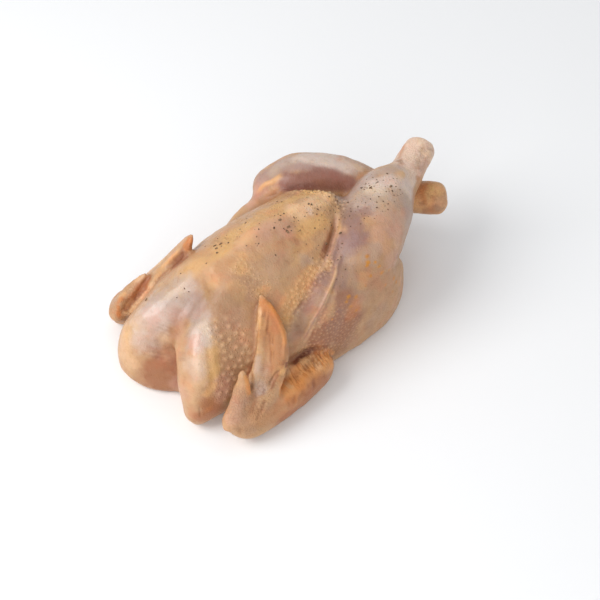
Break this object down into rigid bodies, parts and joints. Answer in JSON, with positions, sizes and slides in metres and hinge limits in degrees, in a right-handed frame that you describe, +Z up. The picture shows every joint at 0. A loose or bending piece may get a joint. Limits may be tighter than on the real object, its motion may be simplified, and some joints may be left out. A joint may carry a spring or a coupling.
{
  "type": "whole raw chicken",
  "caption": "Raw plucked chicken lying on its back, breast up, legs crossed at the hocks over the tail and wings folded beside the breast.",
  "frame": {"origin": "under the middle of the bird's box, on the surface its back rests on", "axes": "+X is the side of the leg that crosses on top, +Y runs from the neck end to the tail, +Z is up from the back to the breast"},
  "size_m": [0.1586, 0.2634, 0.1013],
  "materials": {
    "skin": "moist raw poultry skin, pale yellow to pink, soft gloss"
  },
  "bodies": {
    "root": {"chicken": "skin"}
  },
  "joints": []
}
